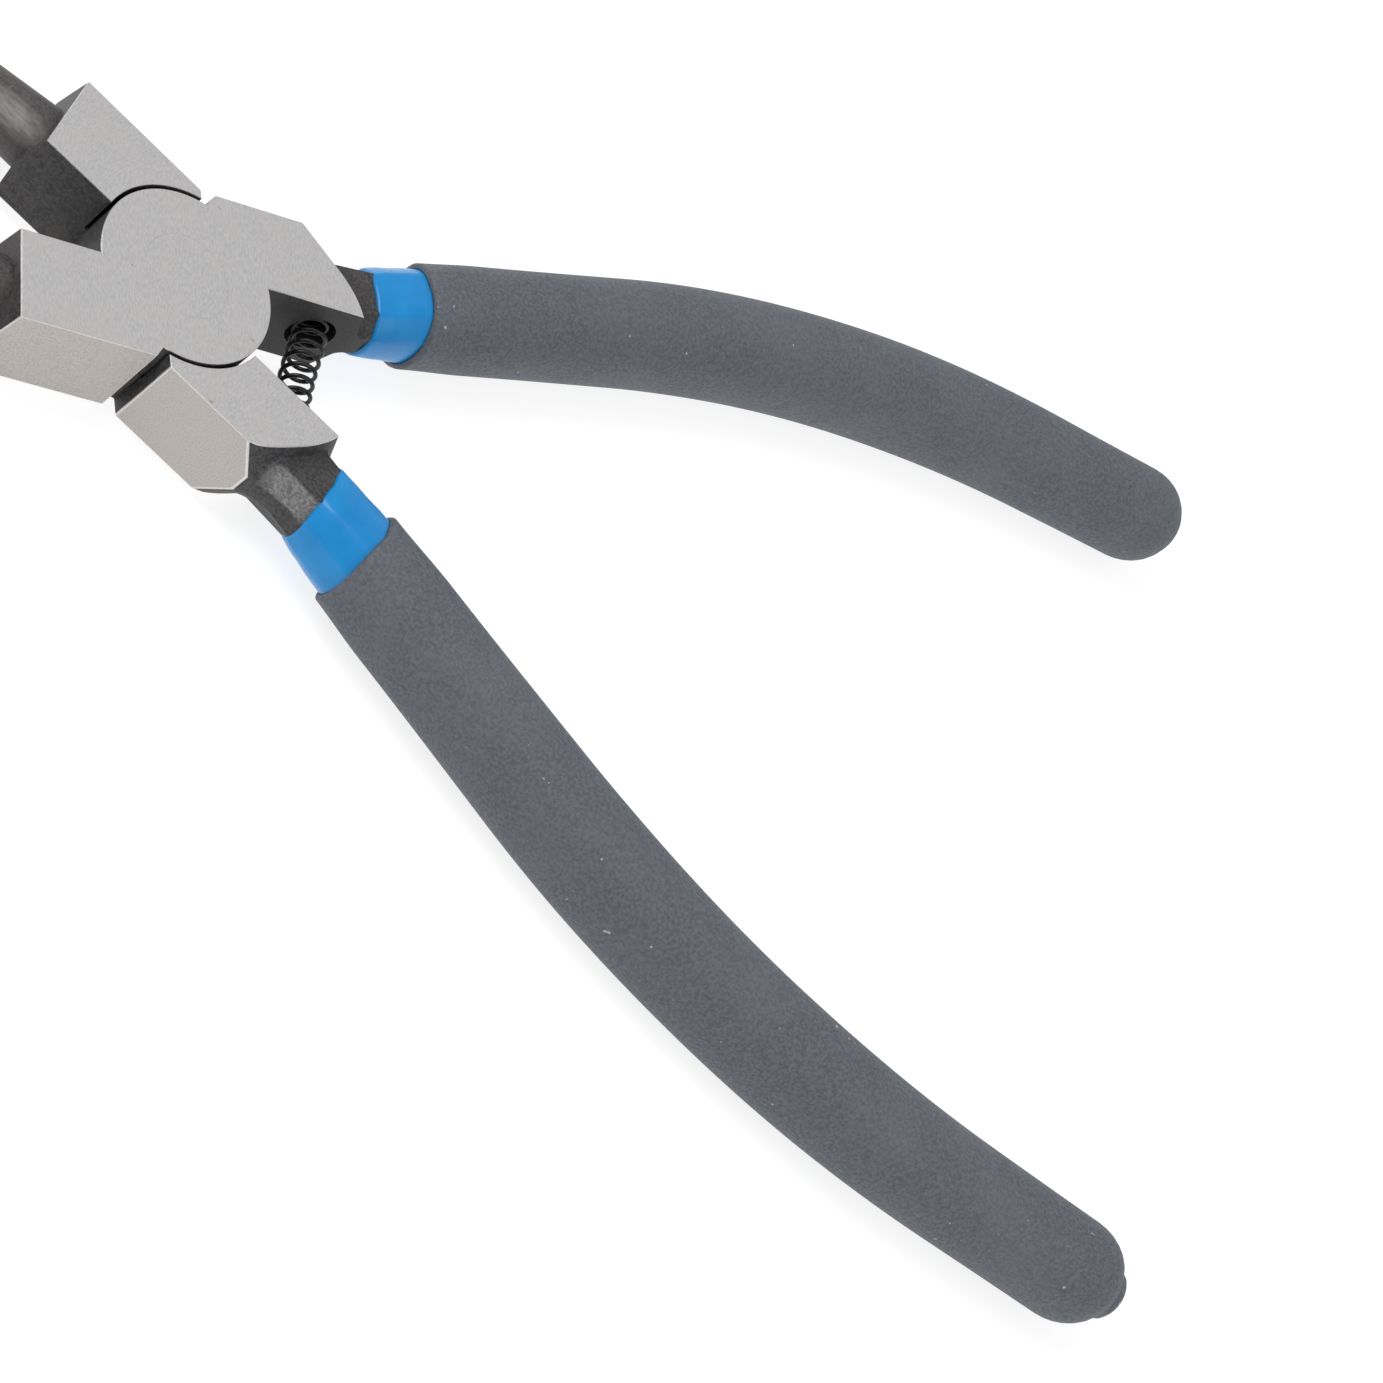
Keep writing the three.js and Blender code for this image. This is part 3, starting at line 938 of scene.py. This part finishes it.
def blue_vinyl():
    """Glossy dipped vinyl with slow ripples where it ran."""
    finish = Finish("blue_vinyl", (0.004, 0.22, 0.55), 0.3, specular=0.3, coat=0.12, coat_roughness=0.08)
    clouds = finish.noise(0.25, 2, 0.5)
    finish.colour(finish.mix(finish.remap(clouds, 0.35, 0.65), (0.003, 0.2, 0.51), (0.005, 0.24, 0.58)))
    finish.roughness(finish.remap(finish.noise(1.2, 2, 0.5), 0.3, 0.7, 0.25, 0.35))
    finish.bump(finish.noise(0.45, 1, 0.4), 0.08, 0.5)
    return finish.material


def grey_vinyl():
    """Matt dipped vinyl with a fine leathery grain and a few pale specks of dust."""
    finish = Finish("grey_vinyl", (0.1, 0.112, 0.13), 0.62, specular=0.3)
    grain = finish.noise(3, 3, 0.6)
    tone = finish.mix(finish.remap(grain, 0.38, 0.62), (0.078, 0.086, 0.1), (0.118, 0.128, 0.148))
    clouds = finish.noise(0.12, 3, 0.5)
    tone = finish.mix(finish.remap(clouds, 0.4, 0.7, 0, 0.3), tone, (0.14, 0.15, 0.168))
    dust = finish.remap(finish.noise(1.35, 1, 0.3), 0.795, 0.815, 0, 0.75)
    finish.colour(finish.mix(dust, tone, (0.42, 0.43, 0.44)))
    finish.roughness(finish.remap(grain, 0.3, 0.7, 0.68, 0.52))
    finish.bump(finish.math("ADD", grain, finish.noise(8, 2, 0.5)), 0.06, 0.6)
    return finish.material


def spring_steel():
    """Oiled black music wire with drawing lines."""
    finish = Finish("spring_wire", (0.015, 0.015, 0.016), 0.3, metallic=0.6)
    grain = finish.noise(3, 2, 0.5)
    finish.colour(finish.mix(finish.remap(grain, 0.35, 0.65), (0.01, 0.01, 0.011), (0.03, 0.03, 0.031)))
    finish.roughness(finish.remap(grain, 0.3, 0.7, 0.25, 0.42))
    return finish.material


def pin_steel():
    """Plain turned hardened steel."""
    finish = Finish("pin_steel", (0.3, 0.295, 0.29), 0.32, metallic=1.0)
    rings = finish.noise(1, 3, 0.6, finish.stretched(16, 0.6, 0.6))
    finish.colour(finish.mix(finish.remap(rings, 0.35, 0.65), (0.24, 0.235, 0.23), (0.36, 0.355, 0.35)))
    finish.roughness(finish.remap(rings, 0.3, 0.7, 0.26, 0.4))
    finish.bump(rings, 0.004, 0.5)
    return finish.material


# ---------------------------------------------------------------- the object

BLACK_STEEL = black_steel()
GROUND_STEEL = ground_steel("ground_steel", *TOP_GRIND)
# A darker copy of the ground steel for the outer side faces: painted shade.
GROUND_SIDE_SHADED_STEEL = ground_steel("ground_side_shaded_steel", *SIDE_GRIND_SHADED)
RIVET_STEEL = ground_steel("rivet_ground_steel", *TOP_GRIND)
BLUE_VINYL = blue_vinyl()
GREY_VINYL = grey_vinyl()
SPRING_STEEL = spring_steel()
PIN_STEEL = pin_steel()


def build_half(back):
    side = "back" if back else "front"
    forging = forging_body(back)
    finish_forging(forging)
    place(forging, f"{side}_forging", back, f"{side}_half_forging", "forged_steel",
          BLACK_STEEL, GROUND_STEEL, GROUND_SIDE_SHADED_STEEL)
    weigh_normals(forging)
    place(pin(), f"{side}_pin", back, f"{side}_tip_pin", "pin_steel", PIN_STEEL)
    sleeve = coat(0, SLEEVE_END, BAR_END + SLEEVE_INSIDE, SLEEVE_INSIDE, SLEEVE_OUTSIDE,
                  SLEEVE_LIP, dip_line(SLEEVE_DIP[back], SLEEVE_RIPPLE), bead=SLEEVE_BEAD)
    place(sleeve, f"{side}_blue_coat", back, f"{side}_inner_sleeve", "blue_dip", BLUE_VINYL)
    grip = coat(GRIP_START, GRIP_END, SLEEVE_END + COAT_GAP, GRIP_INSIDE, GRIP_OUTSIDE,
                GRIP_LIP, dip_line(GRIP_DIP[back], GRIP_RIPPLE), drip=back)
    place(grip, f"{side}_grey_coat", back, f"{side}_outer_grip", "grey_dip", GREY_VINYL)


def build_rivet():
    obj = turned("rivet", rivet_profile(0))
    smooth(obj)
    obj.data.set_sharp_from_angle(angle=TURNED_SHARP)
    obj.name = "flush_rivet"
    remember_place(obj)
    obj.data.transform(Matrix.Scale(MM, 4) @ Matrix.Translation((0, 0, HALF_THICKNESS)))
    obj.data.materials.append(RIVET_STEEL)
    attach(obj, "back_half")
    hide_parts("pivot_rivet")


def build_spring():
    obj = spring()
    remember_place(obj)
    obj.data.transform(Matrix.Scale(MM, 4))
    obj.data.materials.append(SPRING_STEEL)
    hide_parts("return_spring")
    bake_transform(obj)


for is_back in (False, True):
    build_half(is_back)
build_rivet()
build_spring()


# ---------------------------------------------------------------- studio

FLOOR_GLOW = 0.8
FLOOR_HALF = 2.5
WORLD_STRENGTH = 0.56

# Place and target in metres, disk size in metres, power in watts
LIGHTS = {
    "key": ((-0.45, 0.15, 0.75), (0.05, 0, 0), 0.6, 4.5),
    "fill": ((0.5, -0.6, 0.6), (0.05, 0, 0), 0.8, 2),
    "sheen": ((0.55, 0.65, 0.7), (0.02, 0, 0), 0.9, 0.45),
}

CAMERA_PLACE = (-0.127766, -0.282804, 0.300120)
CAMERA_TURN = (32.7658, -38.1231, 8.9164)
CAMERA_LENS = 120.92
SENSOR_WIDTH = 36


def add_floor():
    """A plain white floor under the pliers' lowest point. It glows, so shadows stay faint."""
    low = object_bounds()[0][2]
    half = FLOOR_HALF
    corners = [(-half, -half, low), (half, -half, low), (half, half, low), (-half, half, low)]
    floor = to_object("floor", corners, [(0, 1, 2, 3)])
    remember_place(floor)
    finish = Finish("floor_white", (0.3, 0.3, 0.3), 0.8, specular=0.2)
    finish.set("Emission Color", (1, 1, 1, 1))
    finish.set("Emission Strength", FLOOR_GLOW)
    floor.data.materials.append(finish.material)


def add_light(name, place, target, size, power):
    data = bpy.data.lights.new(name, "AREA")
    data.shape = "DISK"
    data.size = size
    data.energy = power
    obj = bpy.data.objects.new(name, data)
    obj.location = place
    direction = Vector(target) - Vector(place)
    obj.rotation_euler = direction.to_track_quat("-Z", "Y").to_euler()
    bpy.context.scene.collection.objects.link(obj)


def add_world(strength):
    world = bpy.data.worlds.new("studio")
    world.use_nodes = True
    sky = world.node_tree.nodes["Background"]
    sky.inputs["Color"].default_value = (1, 1, 1, 1)
    sky.inputs["Strength"].default_value = strength
    bpy.context.scene.world = world


def add_camera():
    data = bpy.data.cameras.new("camera")
    data.lens = CAMERA_LENS
    data.sensor_width = SENSOR_WIDTH
    data.clip_start = 0.01
    obj = bpy.data.objects.new("camera", data)
    obj.location = CAMERA_PLACE
    obj.rotation_euler = Euler([v * DEGREE for v in CAMERA_TURN], "XYZ")
    bpy.context.scene.collection.objects.link(obj)
    bpy.context.scene.camera = obj


add_floor()
add_world(WORLD_STRENGTH)
for light_name, settings in LIGHTS.items():
    add_light(light_name, *settings)
add_camera()
bpy.context.scene.view_settings.view_transform = "Standard"
